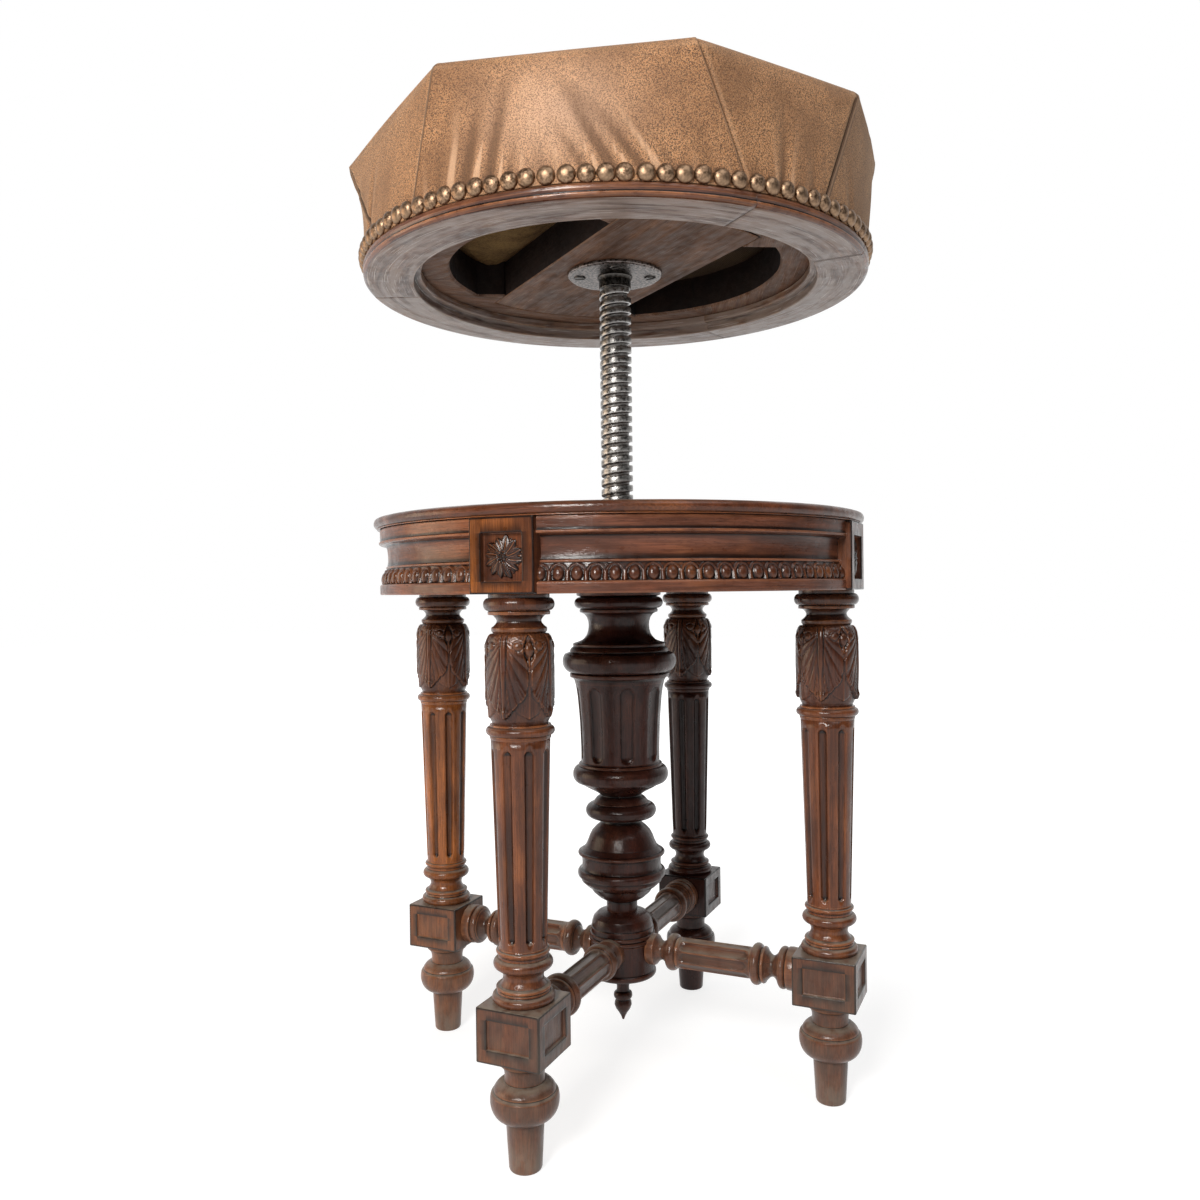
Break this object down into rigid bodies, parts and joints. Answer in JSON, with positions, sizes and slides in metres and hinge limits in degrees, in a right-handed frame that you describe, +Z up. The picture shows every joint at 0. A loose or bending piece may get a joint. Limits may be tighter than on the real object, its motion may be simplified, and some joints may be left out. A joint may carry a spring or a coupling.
{
  "type": "revolving piano stool",
  "caption": "Round revolving stool: turned and carved legs, moulded apron, centre column, and an upholstered seat that rises on a square-thread screw.",
  "frame": {"origin": "on the floor, under the axis of the screw", "axes": "+Z up along the screw; the four legs stand on the X and Y axes, and the picture's nearest leg is on -Y"},
  "size_m": [0.3525, 0.35, 0.652],
  "materials": {
    "walnut": "dark red-brown, waxed satin, rubbed lighter on the edges",
    "worn_walnut": "dark walnut, dulled and greyed on the underside",
    "inner_wood": "brown, matt, unpolished",
    "iron": "dark, worn bright on the thread",
    "hessian": "coarse plain weave",
    "stuffing": "loose fibre",
    "suede_cloth": "tan suede-like cloth, mottled",
    "nail_brass": "antiqued, domed"
  },
  "bodies": {
    "base": {"leg_front": "walnut", "leg_right": "walnut", "leg_back": "walnut", "leg_left": "walnut", "rosette_front": "walnut", "rosette_right": "walnut", "rosette_back": "walnut", "rosette_left": "walnut", "stretcher_front": "walnut", "stretcher_right": "walnut", "stretcher_back": "walnut", "stretcher_left": "walnut", "apron_rail_front_left": "walnut", "apron_rail_front_right": "walnut", "apron_rail_back_right": "walnut", "apron_rail_back_left": "walnut", "top_board": "walnut", "centre_column": "walnut", "stretcher_hub": "walnut", "drop_finial": "walnut", "screw_nut": "iron", "nut_wood_screw_1": "iron", "nut_wood_screw_2": "iron", "nut_wood_screw_3": "iron"},
    "screw_carrier": {"screw_collar": "iron"},
    "seat": {"screw_spindle": "iron", "flange_plate": "iron", "flange_wood_screw_1": "iron", "flange_wood_screw_2": "iron", "flange_wood_screw_3": "iron", "flange_wood_screw_4": "iron", "seat_ring": "worn_walnut", "seat_hoop": "inner_wood", "seat_cross_board": "inner_wood", "seat_canvas": "hessian", "seat_stuffing": "stuffing", "seat_cover": "suede_cloth"}
  },
  "joints": [
    {"name": "seat_lift", "type": "slide", "parent": "base", "child": "screw_carrier", "axis": [0, 0, 1], "range_m": [-0.14, 0.007]},
    {"name": "seat_spin", "type": "hinge", "parent": "screw_carrier", "child": "seat", "pos_m": [0, 0, 0.388], "axis": [0, 0, 1], "range_deg": [-7200, 360]}
  ],
  "couplings": [
    {"joint": "seat_lift", "follows": "seat_spin", "m_per_rad": 0.001114}
  ]
}
